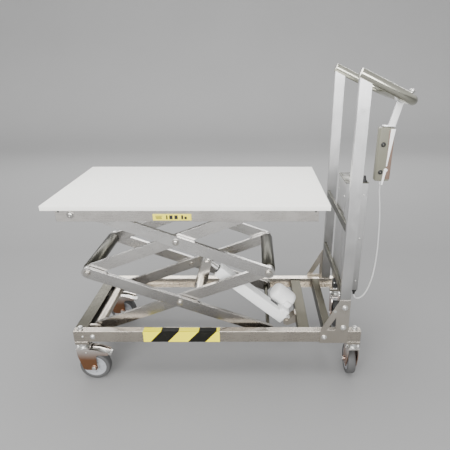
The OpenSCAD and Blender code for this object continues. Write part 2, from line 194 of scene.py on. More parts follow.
def start_material(name, metallic=0.0, specular=0.5, coat=0.0, ior=1.45):
    m = bpy.data.materials.new(name)
    m.use_nodes = True
    t = m.node_tree
    b = t.nodes["Principled BSDF"]
    b.inputs["Metallic"].default_value = metallic
    b.inputs["Specular IOR Level"].default_value = specular
    b.inputs["IOR"].default_value = ior
    if coat:
        b.inputs["Coat Weight"].default_value = coat
        b.inputs["Coat Roughness"].default_value = 0.12
    return m, t, b


def object_vector(t, turn=(0, 0, 0), shift=(0, 0, 0), scale=(1, 1, 1)):
    co = t.nodes.new("ShaderNodeTexCoord")
    mp = put(t, "ShaderNodeMapping", [("Vector", co.outputs["Object"])])
    mp.inputs["Rotation"].default_value = turn
    mp.inputs["Location"].default_value = shift
    mp.inputs["Scale"].default_value = scale
    return mp.outputs[0]


def bump_into(t, b, height, depth, strength=1.0):
    n = put(t, "ShaderNodeBump", [("Height", height)])
    n.inputs["Strength"].default_value = strength
    n.inputs["Distance"].default_value = depth
    t.links.new(n.outputs[0], b.inputs["Normal"])


def ground_steel(name, turn, tone=(0.60, 0.585, 0.56), dull=0.33, depth=0.00003, low=(0.74, 0.70, 0.635),
                 base=0.22, reach=0.80):
    """Ground stainless: turn brings the grain's line onto local X."""
    m, t, b = start_material(name, metallic=1.0)
    vec = object_vector(t, turn)
    g = put(t, "ShaderNodeGroup", node_tree=G_GRAIN)
    t.links.new(vec, g.inputs["Vector"])
    g.inputs["Tone"].default_value = tone + (1,)
    g.inputs["Dull"].default_value = dull
    # painted shade: the colour darkens to low below base height and clears by reach, with a noisy edge; on
    # the frame's steel it stands in for the floor reflected low down
    place = put(t, "ShaderNodeSeparateXYZ", [("Vector", object_vector(t))])
    rise = math_node(t, "ADD", place.outputs["Z"],
                     remap(t, noise(t, object_vector(t), 4, 3), 0.3, 0.7, -0.09 * (reach - base),
                           0.09 * (reach - base)))
    soil_and_painted_shade = blend_colour(t, remap(t, rise, base, reach, 0.0, 1.0), low, (1, 1, 1))
    t.links.new(blend_colour(t, 1.0, g.outputs["Colour"], soil_and_painted_shade, "MULTIPLY"), b.inputs["Base Color"])
    t.links.new(g.outputs["Roughness"], b.inputs["Roughness"])
    bump_into(t, b, g.outputs["Height"], depth, 0.6)
    return m


def skinned(name, tone, dull=0.4, size=900.0, soil_and_painted_shade=0.1, depth=0.00006, metallic=0.0, coat=0.0, specular=0.5,
            strength=0.5):
    m, t, b = start_material(name, metallic, specular, coat)
    g = put(t, "ShaderNodeGroup", node_tree=G_SKIN)
    t.links.new(object_vector(t), g.inputs["Vector"])
    g.inputs["Tone"].default_value = tone + (1,)
    g.inputs["Grain Size"].default_value = size
    g.inputs["Dull"].default_value = dull
    g.inputs["Soil"].default_value = soil_and_painted_shade
    t.links.new(g.outputs["Colour"], b.inputs["Base Color"])
    t.links.new(g.outputs["Roughness"], b.inputs["Roughness"])
    bump_into(t, b, g.outputs["Height"], depth, strength)
    return m


# ------------------------------------------------------------------ the free cord
CORD_POINTS = [(584, -48, 797), (584, -48, 772), (588, -48, 742), (593, -48, 705), (597, -48, 665),
               (600, -48, 620),
               (602, -49, 575), (603, -50, 530), (602, -52, 485), (599, -55, 442), (593, -60, 402),
               (584, -65, 366),
               (572, -71, 337), (557, -77, 317), (541, -83, 308), (527, -87, 309), (517, -89.5, 318),
               (513, -90, 332)]


def flow(points, steps):
    """Points of a smooth line through the given ones."""
    p = [Vector(q) * MM for q in points]
    out = []
    for i in range(len(p) - 1):
        a, b, c, d = p[max(i - 1, 0)], p[i], p[i + 1], p[min(i + 2, len(p) - 1)]
        for k in range(steps):
            s = k / steps
            out.append(0.5 * (2 * b + (c - a) * s + (2 * a - 5 * b + 4 * c - d) * s * s
                              + (3 * b - a - 3 * c + d) * s ** 3))
    out.append(p[-1])
    return out


cord_line = flow(CORD_POINTS, 3)
cord_curve = bpy.data.curves.new("handset_lead", "CURVE")
cord_curve.dimensions = "3D"
cord_curve.bevel_depth = 0.003
cord_curve.bevel_resolution = 4
spl = cord_curve.splines.new("POLY")
spl.points.add(len(cord_line) - 1)
for pt, co in zip(spl.points, cord_line):
    pt.co = (co.x, co.y, co.z, 1)
cord_curve.use_fill_caps = True
drawn = bpy.data.objects.new("drawn_line", cord_curve)
scene.collection.objects.link(drawn)
lead = bpy.data.objects.new("handset_lead", bpy.data.meshes.new_from_object(
    drawn.evaluated_get(bpy.context.evaluated_depsgraph_get())))
bpy.data.objects.remove(drawn)
lead.data.shade_smooth()
scene.collection.objects.link(lead)
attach(lead, "base")
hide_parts("handset_cord")
lead.data.materials.append(skinned("lead sheath", (0.62, 0.62, 0.62), 0.38, 1400.0, 0.15, 0.00003))

# ------------------------------------------------------------------ finishes
ARM_TILT = math.radians(20.534)
ACT_TILT = math.radians(139.741)
STEEL_X = ground_steel("ground steel, lengthwise", (0, 0, 0), (0.60, 0.578, 0.55), 0.27)
# painted shade: steel that runs in depth gets a near-black tone, the shafts darker still, in place of the
# dark reflections on those members
STEEL_Y = ground_steel("ground steel, crosswise", (0, 0, math.radians(90)), (0.105, 0.103, 0.084), 0.36)
STEEL_DARK = ground_steel("ground steel, shaded shafts", (0, 0, math.radians(90)), (0.068, 0.067, 0.054),
                          0.30)
# painted reflection and shade: the uprights are near white at the top and darken steadily towards the bottom
STEEL_Z = ground_steel("ground steel, upright", (0, math.radians(90), 0), (0.90, 0.90, 0.905), 0.36,
                       low=(0.24, 0.236, 0.222), reach=1.0)
# painted shade: rising and falling arms are lit and shaded copies of one steel, the falling arms darkening
# more towards the bottom
STEEL_UP = ground_steel("ground steel, rising arms", (0, ARM_TILT, 0), (0.58, 0.565, 0.545), 0.27,
                        low=(0.44, 0.425, 0.40), reach=0.60)
STEEL_DOWN = ground_steel("ground steel, falling arms", (0, -ARM_TILT, 0), (0.60, 0.59, 0.575), 0.27,
                          low=(0.27, 0.256, 0.237), reach=0.58)
# painted shade: the handle's steel is given a darker, olive tone in place of its dark underside
STEEL_TUBE = ground_steel("ground steel, handle", (0, 0, math.radians(90)), (0.46, 0.455, 0.385), 0.2)
STEEL_TURNED = ground_steel("turned steel", (0, 0, math.radians(90)), (0.58, 0.57, 0.55), 0.2)
STEEL_PLATE = ground_steel("ground steel, plates", (0, math.radians(90), 0), (0.60, 0.58, 0.55), 0.32)
# the forks are bright steel above 152 mm, turning brown from there down to 102 mm
STEEL_FORK = ground_steel("warm bright steel, forks", (0, math.radians(90), 0), (0.78, 0.74, 0.70), 0.12,
                          low=(0.40, 0.21, 0.12), base=0.102, reach=0.152)
ZINC = skinned("bright zinc", (0.70, 0.70, 0.68), 0.34, 500.0, 0.15, 0.00004, metallic=1.0)
BOARD = skinned("cutting board plastic", (0.985, 0.98, 0.925), 0.42, 650.0, 0.03, 0.00012, specular=0.45)
TREAD = skinned("grey tread rubber", (0.075, 0.075, 0.075), 0.62, 1100.0, 0.35, 0.0001)
HUB = skinned("grey wheel centre", (0.34, 0.35, 0.37), 0.42, 900.0, 0.25, 0.00008)
PAINT = skinned("light motor housing", (0.93, 0.935, 0.925), 0.4, 1200.0, 0.08, 0.00006)
BLACK = skinned("black plastic", (0.018, 0.018, 0.018), 0.45, 1300.0, 0.1, 0.00006)
NYLON = skinned("roller nylon", (0.82, 0.81, 0.76), 0.4, 700.0, 0.2, 0.00006)
HANDSET = skinned("handset shell", (0.20, 0.195, 0.15), 0.42, 1500.0, 0.1, 0.00006)
REDDISH = skinned("handset side grip", (0.20, 0.135, 0.105), 0.42, 1500.0, 0.15, 0.00006)
PALE = skinned("pale handset trim", (0.96, 0.96, 0.95), 0.4, 1500.0, 0.05, 0.00004)

DEFAULTS = {"stainless": STEEL_X, "bright_steel": ZINC, "board_plastic": BOARD, "castor_tyre": TREAD,
            "actuator_plastic": PAINT, "roller_plastic": NYLON, "black_plastic": BLACK,
            "handset_plastic": HANDSET, "button_plastic": PALE, "cord_sheath": PALE}
FINISH = {"base_end_member": STEEL_DARK, "actuator_cross_member": STEEL_Y, "base_cross_member": STEEL_Y,
          "cross_bars": STEEL_Y, "table_cross_members": STEEL_Y, "mid_right_shaft": STEEL_TURNED,
          "mid_left_shaft": STEEL_TURNED, "lower_centre_pins": STEEL_TURNED,
          "upper_centre_pins": STEEL_TURNED,
          "lift_lever": STEEL_TURNED, "lower_roller_shaft": STEEL_DARK, "upper_roller_shaft": STEEL_DARK,
          "table_pivot_pins": STEEL_TURNED, "upright_front": STEEL_Z, "upright_rear": STEEL_Z,
          "battery_tray": STEEL_Z, "push_handle": STEEL_TUBE, "gusset_front": STEEL_PLATE,
          "gusset_rear": STEEL_PLATE, "actuator_bracket": STEEL_PLATE, "pivot_lugs": STEEL_PLATE,
          "handset_hanger": STEEL_Z, "lower_inner_arm_front": STEEL_UP, "lower_inner_arm_rear": STEEL_UP,
          "upper_inner_arm_front": STEEL_UP,
          "upper_inner_arm_rear": STEEL_UP, "lower_outer_arm_front": STEEL_DOWN,
          "lower_outer_arm_rear": STEEL_DOWN,
          "upper_outer_arm_front": STEEL_DOWN, "upper_outer_arm_rear": STEEL_DOWN}
SLOT_OF = {s["node"]: s["material_slot"] for s in frame["record"]["subparts"]}
BODY_OF = {n: b for b, ns in frame["record"]["behaviour"]["bodies"].items() for n in ns}
for name, ob in NODES.items():
    m = FINISH.get(name) or DEFAULTS[SLOT_OF[name]]
    ob.data.materials.clear()
    ob.data.materials.append(m)


# ------------------------------------------------------------------ piece tools
def finish_mesh(bm, name, body, material, replaces=(), sharp=35, tidy=True, flats=False):
    if tidy:
        bmesh.ops.remove_doubles(bm, verts=bm.verts, dist=1e-6)
        bmesh.ops.recalc_face_normals(bm, faces=bm.faces)
    bm.faces.index_update()
    for f in bm.faces:
        f.smooth = True
    area = {f.index: f.calc_area() for f in bm.faces}
    for e in bm.edges:
        turn = e.calc_face_angle(0) if len(e.link_faces) == 2 else math.pi
        e.smooth = turn < math.radians(sharp)
        if e.smooth and flats and turn > math.radians(6):
            small, large = sorted(area[f.index] for f in e.link_faces)
            e.smooth = large < 2.5 * small
    mesh = bpy.data.meshes.new(name)
    bm.to_mesh(mesh)
    bm.free()
    ob = bpy.data.objects.new(name, mesh)
    scene.collection.objects.link(ob)
    mats = material if isinstance(material, (list, tuple)) else [material]
    for m in mats:
        mesh.materials.append(m)
    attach(ob, body)
    if replaces:
        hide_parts(*replaces)
    return ob


def box(bm, low, high):
    low, high = Vector(low) * MM, Vector(high) * MM
    got = bmesh.ops.create_cube(bm, size=1.0)
    bmesh.ops.scale(bm, verts=got["verts"], vec=high - low)
    bmesh.ops.translate(bm, verts=got["verts"], vec=(high + low) / 2)
    return got["verts"]


def rod(bm, a, b, r, sides=32, r2=None):
    a, b = Vector(a) * MM, Vector(b) * MM
    d = b - a
    turn = d.to_track_quat("Z", "Y").to_matrix().to_4x4()
    got = bmesh.ops.create_cone(bm, cap_ends=True, segments=sides, radius1=r * MM,
                                radius2=(r if r2 is None else r2) * MM, depth=d.length,
                                matrix=Matrix.Translation((a + b) / 2) @ turn)
    return got["verts"]


def edges_of(verts):
    return list({e for v in verts for e in v.link_edges})


def round_edges(bm, verts, width, segments=2, angle=30):
    es = [e for e in edges_of(verts) if len(e.link_faces) == 2 and e.calc_face_angle(0) > math.radians(angle)]
    bmesh.ops.bevel(bm, geom=es, offset=width * MM, offset_type="OFFSET", affect="EDGES", segments=segments,
                    profile=0.5, material=-1, clamp_overlap=True)


def soften(node, width=0.8, segments=2, dist=2e-5, material=None):
    """A merged copy of a CAD node with its edges broken, in place of the node."""
    bm = bmesh.new()
    bm.from_mesh(NODES[node].data)
    bmesh.ops.remove_doubles(bm, verts=bm.verts, dist=dist)
    bmesh.ops.dissolve_limit(bm, angle_limit=math.radians(1.0), verts=bm.verts, edges=bm.edges)
    es = [e for e in bm.edges if len(e.link_faces) == 2 and e.calc_face_angle(0) > math.radians(35)]
    bmesh.ops.bevel(bm, geom=es, offset=width * MM, offset_type="OFFSET", affect="EDGES", segments=segments,
                    profile=0.5, material=-1, clamp_overlap=True)
    return finish_mesh(bm, node + "_worked", BODY_OF[node], material or NODES[node].data.materials[0],
                       (node,), 40, tidy=False, flats=True)


for node in ["base_rail_front", "base_rail_rear", "base_end_member", "actuator_cross_member",
             "base_cross_member",
             "castor_pads", "gusset_front", "gusset_rear", "upright_front", "upright_rear", "cross_bars",
             "table_rail_front", "table_rail_rear", "table_cross_members",
             "lower_inner_arm_front", "lower_inner_arm_rear", "lower_outer_arm_front", "lower_outer_arm_rear",
             "upper_inner_arm_front", "upper_inner_arm_rear", "upper_outer_arm_front",
             "upper_outer_arm_rear"]:
    soften(node, 1.8, 3)

# ------------------------------------------------------------------ shared shapes
def turned(bm, profile, place, steps=64):
    """Spins (radius, height) points in mm round Z, then puts the result in place.

    A profile that closes on itself makes a ring."""
    pts = [Vector((r, 0, h)) * MM for r, h in profile]
    vs = [bm.verts.new(p) for p in pts]
    es = [bm.edges.new((vs[i], vs[i + 1])) for i in range(len(vs) - 1)]
    got = bmesh.ops.spin(bm, geom=vs + es, cent=(0, 0, 0), axis=(0, 0, 1), angle=math.tau, steps=steps,
                         use_merge=True, use_duplicate=False)
    made = {v for v in got["geom_last"] if isinstance(v, bmesh.types.BMVert)} | set(vs)
    seen, todo = set(made), list(made)
    while todo:
        for e in todo.pop().link_edges:
            for v in e.verts:
                if v not in seen:
                    seen.add(v)
                    todo.append(v)
    bmesh.ops.remove_doubles(bm, verts=list(seen), dist=1e-6)
    seen = [v for v in seen if v.is_valid]
    bmesh.ops.transform(bm, matrix=place, verts=seen)
    return seen


def facing(point, axis):
    """A place matrix at a point in mm with local Z along an axis."""
    return Matrix.Translation(Vector(point) * MM) @ Vector(axis).to_track_quat("Z", "Y").to_matrix().to_4x4()


def hex_head(bm, point, axis, across=20, high=8, washer=13):
    """A hexagon head standing on a washer."""
    p, a = Vector(point), Vector(axis).normalized()
    if washer:
        turned(bm, [(0, 0), (washer, 0), (washer, 1.6), (washer - 0.6, 2.2), (0, 2.2)], facing(p, a), 32)
        p = p + a * 2.2
    r = across / math.sqrt(3)
    vs = rod(bm, p, p + a * high, r, 6)
    round_edges(bm, vs, 0.9, 2)
    turned(bm, [(0, 0), (across * 0.36, 0), (across * 0.33, 0.8), (0, 1.2)], facing(p + a * high, a), 24)


def dome_head(bm, point, axis, r=8, high=5, washer=0):
    """A domed head with a small drive recess."""
    p, a = Vector(point), Vector(axis).normalized()
    if washer:
        turned(bm, [(0, 0), (washer, 0), (washer, 1.2), (washer - 0.5, 1.6), (0, 1.6)], facing(p, a), 32)
        p = p + a * 1.6
    s = r * 0.34
    turned(bm, [(0, 0), (r, 0), (r, high * 0.25), (r * 0.93, high * 0.55), (r * 0.75, high * 0.82),
                (r * 0.5, high * 0.97), (s, high), (s, high - 1.8), (0, high - 2.2)], facing(p, a), 32)


def weld_ring(bm, point, radius, r=1.3, count=44):
    """A ring of weld ripples in the XZ plane, in mm."""
    for i in range(count):
        a = math.tau * i / count
        bmesh.ops.create_icosphere(bm, subdivisions=1, radius=r * MM, matrix=Matrix.Translation(
            (Vector(point) + Vector((math.cos(a) * radius, 0, math.sin(a) * radius))) * MM))


# ------------------------------------------------------------------ board
bm = bmesh.new()
low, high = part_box("table_board")
vs = box(bm, low / MM, high / MM)
round_edges(bm, vs, 1.8, 4)
finish_mesh(bm, "board_slab", "table", BOARD, ("table_board",), 30)

# ------------------------------------------------------------------ pivots
PIV_X, Z_BOT, Z_MID, Z_TOP = -549.0, 216.0, 479.0, 742.0
ROL_X, CEN_X = 153.38, -197.81


def cross_shaft(name, x, z, body):
    bm = bmesh.new()
    vs = rod(bm, (x, -147, z), (x, 147, z), 26, 56)
    round_edges(bm, vs, 1.0, 2)
    for s in (-1, 1):
        weld_ring(bm, (x, s * 145.6, z), 25.6)
        rod(bm, (x, s * 146, z), (x, s * 181, z), 8, 32)
        turned(bm, [(0, 0), (14, 0), (14, 2.7), (0, 2.7)], facing((x, s * 162, z), (0, s, 0)), 40)
        turned(bm, [(0, 0), (14.5, 0), (14.5, 1.8), (13.6, 2.6), (0, 2.6)],
               facing((x, s * 180.4, z), (0, s, 0)), 40)
        hex_head(bm, (x, s * 183, z), (0, s, 0), 19, 7, 0)
    for f in bm.faces:
        f.material_index = int(abs(f.calc_center_median().y) > 0.1475)
    finish_mesh(bm, name + "_bolted", body, [STEEL_DARK, STEEL_TURNED], (name,), 35)


cross_shaft("mid_right_shaft", ROL_X, Z_MID, "lower_inner_arms")
cross_shaft("mid_left_shaft", PIV_X, Z_MID, "upper_inner_arms")


def centre_bolts(name, z, body):
    bm = bmesh.new()
    for s in (-1, 1):
        rod(bm, (CEN_X, s * 146, z), (CEN_X, s * 181, z), 8, 32)
        turned(bm, [(0, 0), (14, 0), (14, 2.7), (0, 2.7)], facing((CEN_X, s * 162, z), (0, s, 0)), 40)
        turned(bm, [(0, 0), (13.5, 0), (13.5, 1.8), (12.8, 2.4), (0, 2.4)],
               facing((CEN_X, s * 180.4, z), (0, s, 0)), 40)
        dome_head(bm, (CEN_X, s * 182.6, z), (0, s, 0), 10.5, 5.5)
        hex_head(bm, (CEN_X, s * 147, z), (0, -s, 0), 19, 5, 0)
    finish_mesh(bm, name + "_bolted", body, STEEL_TURNED, (name,), 35)


centre_bolts("lower_centre_pins", Z_BOT + 131.5, "lower_inner_arms")
centre_bolts("upper_centre_pins", Z_MID + 131.5, "upper_inner_arms")

bm = bmesh.new()
for s in (-1, 1):
    rod(bm, (PIV_X, s * 158, Z_TOP), (PIV_X, s * 235, Z_TOP), 8, 32)
    turned(bm, [(0, 0), (13, 0), (13, 6.8), (11.5, 7.6), (0, 7.6)],
           facing((PIV_X, s * 164.6, Z_TOP), (0, -s, 0)), 40)
    turned(bm, [(0, 0), (14, 0), (14, 51.6), (0, 51.6)], facing((PIV_X, s * 180.4, Z_TOP), (0, s, 0)), 40)
    turned(bm, [(0, 0), (14, 0), (14, 1.4), (13.2, 2.0), (0, 2.0)],
           facing((PIV_X, s * 235, Z_TOP), (0, s, 0)), 40)
    dome_head(bm, (PIV_X, s * 237, Z_TOP), (0, s, 0), 10.5, 5)
finish_mesh(bm, "table_pivots_bolted", "table", STEEL_TURNED, ("table_pivot_pins",), 35)

# heads on the base rails in line with the lower pivots, and castor nuts on the rails
bm = bmesh.new()
for s in (-1, 1):
    dome_head(bm, (PIV_X, s * 225, Z_BOT), (0, s, 0), 7.5, 4, 10)
    for x in (-601, 500):
        hex_head(bm, (x, s * 207, 241), (0, 0, 1), 17, 8, 12)
    dome_head(bm, (-589, s * 225, 216), (0, s, 0), 4.5, 2.5)
finish_mesh(bm, "base_fasteners", "base", ZINC)

bm = bmesh.new()
for s in (-1, 1):
    for x, z, r in ((449, 353, 8.5), (449, 262, 8.5), (376, 216, 7.5)):
        dome_head(bm, (x, s * 228, z), (0, s, 0), r, 5, r + 3)
    turned(bm, [(0, 0), (6, 0), (6, 0.5), (0, 0.5)], facing((412, s * 228, 336), (0, s, 0)), 24)
finish_mesh(bm, "gusset_bolts_domed", "base", ZINC, ("gusset_bolts",))

# painted shade: flat black discs stand for drilled holes in the front and rear table rails
bm = bmesh.new()
for s in (-1, 1):
    for x in (313, -590):
        turned(bm, [(0, 0), (3.4, 0), (3.4, 0.15), (0, 0.15)], facing((x, s * 235, 755), (0, s, 0)), 24)
finish_mesh(bm, "table_rail_holes", "table", BLACK)

for node, w in (("pivot_lugs", 1.0), ("actuator_bracket", 0.6), ("handset_hanger", 0.4), ("lift_lever", 0.7),
                ("battery_tray", 0.5), ("castor_heads", 0.8)):
    soften(node, w)


# ------------------------------------------------------------------ castors
CASTORS = {"front_left": (-601, -203, 0), "rear_left": (-601, 203, 0), "front_right": (500, -203, 90),
           "rear_right": (500, 203, -90)}
TYRE = [(46.5, -14.5), (48, -16.2), (50.5, -16.9), (56.5, -16.9), (59.6, -15.6), (61.4, -13.0), (62.2, -9.5),
        (62.5, -5), (62.5, 5), (62.2, 9.5), (61.4, 13.0), (59.6, 15.6), (56.5, 16.9), (50.5, 16.9),
        (48, 16.2), (46.5, 14.5), (45.5, 0), (46.5, -14.5)]
CENTRE = [(6.2, -18.3), (12.5, -18.3), (13.2, -17.6), (15.2, -17.6), (16.5, -15), (17.5, -9.5), (19, -8.6),
          (36, -8.6),
          (38, -9.4), (40.5, -13.4), (42.5, -14.8), (46.6, -14.8), (46.6, 14.8), (42.5, 14.8), (40.5, 13.4),
          (38, 9.4), (36, 8.6), (19, 8.6), (17.5, 9.5), (16.5, 15), (15.2, 17.6), (13.2, 17.6), (12.5, 18.3),
          (6.2, 18.3), (6.2, -18.3)]
for place, (cx, cy, turn) in CASTORS.items():
    put_in = Matrix.Translation(Vector((cx, cy, 0)) * MM) @ Matrix.Rotation(math.radians(turn), 4, "Z")
    wheel_at = put_in @ facing((38, 0, 62.5), (0, 1, 0))
    bm = bmesh.new()
    turned(bm, TYRE, wheel_at, 96)
    finish_mesh(bm, "tyre_" + place, "wheel_" + place, TREAD, ("castor_wheel_" + place,), 40)
    bm = bmesh.new()
    turned(bm, CENTRE, wheel_at, 72)
    for k in range(8):
        a = math.tau * k / 8
        vs = box(bm, (17.5, -1.6, -8.9), (39.5, 1.6, 8.9))
        bmesh.ops.scale(bm, verts=vs, vec=(1, 1, 1.28))
        bmesh.ops.transform(bm, matrix=wheel_at @ Matrix.Rotation(a, 4, "Z"), verts=vs)
    finish_mesh(bm, "wheel_centre_" + place, "wheel_" + place, HUB, (), 35)
    soften("castor_fork_" + place, 0.7, material=STEEL_FORK)
    bm = bmesh.new()
    for s in (-1, 1):
        hex_head(bm, (38, s * 22.5, 62.5), (0, s, 0), 15, 5, 10.5)
    turned(bm, [(16, 0), (25.2, 0), (26, 1), (26, 3.2), (25.2, 4), (16, 4)],
           facing((0, 0, 155.2), (0, 0, 1)), 56)
    turned(bm, [(0, 0), (3.1, 0), (3.1, 1.4), (2.4, 2.2), (0, 2.2)], facing((14, -22.5, 137), (0, -1, 0)), 24)
    turned(bm, [(0, 0), (3.1, 0), (3.1, 1.4), (2.4, 2.2), (0, 2.2)], facing((14, 22.5, 137), (0, 1, 0)), 24)
    bmesh.ops.transform(bm, matrix=put_in, verts=bm.verts)
    finish_mesh(bm, "castor_fittings_" + place, "castor_" + place, ZINC)

# stamped brake pedals with a rolled, ribbed toe
for place in ("front", "rear"):
    cx, cy, turn = CASTORS[place + "_left"]
    bm = bmesh.new()
    line = [(12, 142.2), (26, 142.6), (44, 142.2), (60, 140.2), (74, 135.8), (86, 130.4), (96, 127.0),
            (106, 126.4), (111, 124.6), (112.6, 121.2)]
    rows = []
    for i, (x, z) in enumerate(line):
        half = (17.5, 17, 16, 14.5, 14.5, 16.5, 18, 18, 17.5, 17)[i]
        rows.append([bm.verts.new(Vector((x, half * k, z - 1.6 * abs(k) ** 3)) * MM) for k in (-1, -0.6, 0,
                                                                                               0.6, 1)])
    for a, b in zip(rows, rows[1:]):
        for j in range(4):
            bm.faces.new((a[j], a[j + 1], b[j + 1], b[j]))
    bmesh.ops.subdivide_edges(bm, edges=bm.edges, cuts=1, use_grid_fill=True, smooth=0.6)
    bmesh.ops.recalc_face_normals(bm, faces=bm.faces)
    bmesh.ops.solidify(bm, geom=bm.faces[:] + bm.edges[:] + bm.verts[:], thickness=0.0024)
    round_edges(bm, bm.verts[:], 0.5, 2, 50)
    for x in (90, 95, 100, 105):
        vs = rod(bm, (x, -14, 130.6 if x < 95 else 127.8), (x, 14, 130.6 if x < 95 else 127.8), 1.3, 12)
    vs = rod(bm, (14, -18.6, 137), (14, 18.6, 137), 6, 32)
    round_edges(bm, vs, 0.6, 2)
    bmesh.ops.transform(bm, matrix=Matrix.Translation(Vector((cx, cy, 0)) * MM), verts=bm.verts)
    finish_mesh(bm, "brake_pedal_pressed_" + place, "brake_" + place, ZINC,
                ("brake_pedal_" + place,), 40, tidy=False)


# ------------------------------------------------------------------ rollers
ROLLER = [(8.05, -10.5), (13, -10.5), (13.4, -9.3), (17.5, -9.3), (18, -10.5), (20.6, -10.5), (21.6, -9.5),
          (21.6, 9.5),
          (20.6, 10.5), (18, 10.5), (17.5, 9.3), (13.4, 9.3), (13, 10.5), (8.05, 10.5), (8.05, -10.5)]
for name, z, y, body in (("lower_rollers", Z_BOT, 209.5, "lower_roller_set"),
                         ("upper_rollers", Z_TOP, 219.5, "upper_roller_set")):
    bm = bmesh.new()
    for s in (-1, 1):
        turned(bm, ROLLER, facing((ROL_X, s * y, z), (0, 1, 0)), 56)
    finish_mesh(bm, name + "_turned", body, NYLON, (name,), 35)

# ------------------------------------------------------------------ push handle
bm = bmesh.new()
HX, HZ, ARM_Y, REACH, BEND, TR = 449.0, 1205.0, 215.0, 192.108, 60.0, 16.85
arm_end = Matrix.Translation(Vector((-20, -ARM_Y, 0)) * MM) @ Matrix.Rotation(math.radians(90), 4, "Y")
ring = bmesh.ops.create_circle(bm, segments=40, radius=TR * MM, matrix=arm_end)
edge_loop = list({e for v in ring["verts"] for e in v.link_edges})


def pull(loop, by):
    got = bmesh.ops.extrude_edge_only(bm, edges=loop)
    vs = [g for g in got["geom"] if isinstance(g, bmesh.types.BMVert)]
    bmesh.ops.translate(bm, verts=vs, vec=Vector(by) * MM)
    return [e for e in got["geom"] if isinstance(e, bmesh.types.BMEdge) and all(v in vs for v in e.verts)]


def bend(loop, centre, angle):
    verts = list({v for e in loop for v in e.verts})
    got = bmesh.ops.spin(bm, geom=verts + loop, cent=Vector(centre) * MM, axis=(0, 0, 1), angle=angle,
                         steps=16, use_merge=False, use_duplicate=False)
    return [e for e in got["geom_last"] if isinstance(e, bmesh.types.BMEdge)]


edge_loop = pull(edge_loop, (REACH - BEND + 20, 0, 0))
edge_loop = bend(edge_loop, (REACH - BEND, -(ARM_Y - BEND), 0), math.radians(90))
edge_loop = pull(edge_loop, (0, 2 * (ARM_Y - BEND), 0))
edge_loop = bend(edge_loop, (REACH - BEND, ARM_Y - BEND, 0), math.radians(90))
edge_loop = pull(edge_loop, (-(REACH - BEND + 20), 0, 0))
bmesh.ops.holes_fill(bm, edges=bm.edges, sides=0)
caps = [f for f in bm.faces if len(f.verts) > 8]
bmesh.ops.bevel(bm, geom=list({e for f in caps for e in f.edges}), offset=0.0016, offset_type="OFFSET",
                affect="EDGES", segments=3, profile=0.5, material=-1)
bmesh.ops.transform(bm, matrix=Matrix.Translation(Vector((HX, 0,
                                                          HZ)) * MM) @ Matrix.Rotation(math.radians(25), 4,
                                                                                       "Y"),
                    verts=bm.verts)
finish_mesh(bm, "push_handle_bent", "base", STEEL_TUBE, ("push_handle",), 40)


# ------------------------------------------------------------------ actuator
ACT = Matrix.Translation(Vector((238, -75, 196)) * MM) @ Matrix.Rotation(-ACT_TILT, 4, "Y")
bm = bmesh.new()
turned(bm, [(6.1, -15.6), (14, -15.6), (15, -14.6), (15, 14.6), (14, 15.6), (6.1, 15.6), (6.1, -15.6)],
       facing((0, 0, 0), (0, 1, 0)), 40)
vs = box(bm, (6, -14.5, -13), (34, 14.5, 13))
round_edges(bm, vs, 3, 3)
vs = box(bm, (20, -25, -23), (378, 25, 23))
round_edges(bm, vs, 3.5, 4)
vs = box(bm, (366, -24.4, -22.4), (380.3, 24.4, 22.4))
round_edges(bm, vs, 2.5, 3)
bmesh.ops.transform(bm, matrix=ACT, verts=bm.verts)
finish_mesh(bm, "actuator_tube", "actuator", PAINT, ("actuator_body",), 30)
bm = bmesh.new()
vs = box(bm, (22, -24.8, -42), (62, 25, 18))
round_edges(bm, vs, 6, 5)
vs = box(bm, (26, 0, -66), (58, 56, -16))
round_edges(bm, vs, 8, 5)
turned(bm, [(0, 16), (24, 17), (31, 20), (35.6, 26), (37.4, 34), (38, 42), (38, 70), (37.1, 71),
            (37.1, 73.2), (38, 74.2), (38, 100), (37, 107), (34.4, 113), (29, 118.4), (20, 121.4), (0, 122)],
       facing((0, 50, -56), (1, 0, 0)), 72)
for k in range(10):
    a = math.tau * k / 10
    vs = box(bm, (78, 48.8, -94.2), (104, 51.2, -92))
    bmesh.ops.transform(bm, matrix=Matrix.Translation(Vector((0, 50, -56)) * MM) @ Matrix.Rotation(a, 4, "X")
                        @ Matrix.Translation(Vector((0, -50, 56)) * MM), verts=vs)
for y in (-17, 17):
    for z in (-34, 12):
        dome_head(bm, (22, y, z), (-1, 0, 0), 3.2, 2.2)
vs = rod(bm, (50, -25.4, -30), (50, -24, -30), 7, 32)
round_edges(bm, vs, 0.5, 2)
bmesh.ops.transform(bm, matrix=ACT, verts=bm.verts)
finish_mesh(bm, "actuator_motor", "actuator", PAINT, (), 30)
bm = bmesh.new()
turned(bm, [(11.5, 0), (17.6, 0), (17.6, 2.4), (16.6, 3.4), (11.5, 3.4)], facing((380.0, 0, 0), (1, 0, 0)),
       56)
# painted shade: the thin black strip on the tube, beside the motor, stands for a dark slot
vs = box(bm, (70, 4, -23.6), (112, 21, -22))
round_edges(bm, vs, 0.6, 2)
vs = rod(bm, (44, 40, -68), (44, 52, -76), 6, 24)
round_edges(bm, vs, 0.8, 2)
bmesh.ops.transform(bm, matrix=ACT, verts=bm.verts)
finish_mesh(bm, "actuator_trim", "actuator", BLACK, (), 30)
bm = bmesh.new()
turned(bm, [(0, 120), (11, 120), (11, 425), (0, 425)], facing((0, 0, 0), (1, 0, 0)), 48)
turned(bm, [(12.8, -13), (17, -13), (18, -12), (18, 12), (17, 13), (12.8, 13), (12.8, -13)],
       facing((436.37, 0, 0), (0, 1, 0)), 48)
bmesh.ops.transform(bm, matrix=ACT, verts=bm.verts)
finish_mesh(bm, "actuator_stem_bright", "actuator_stem", ZINC, ("actuator_rod",), 30)

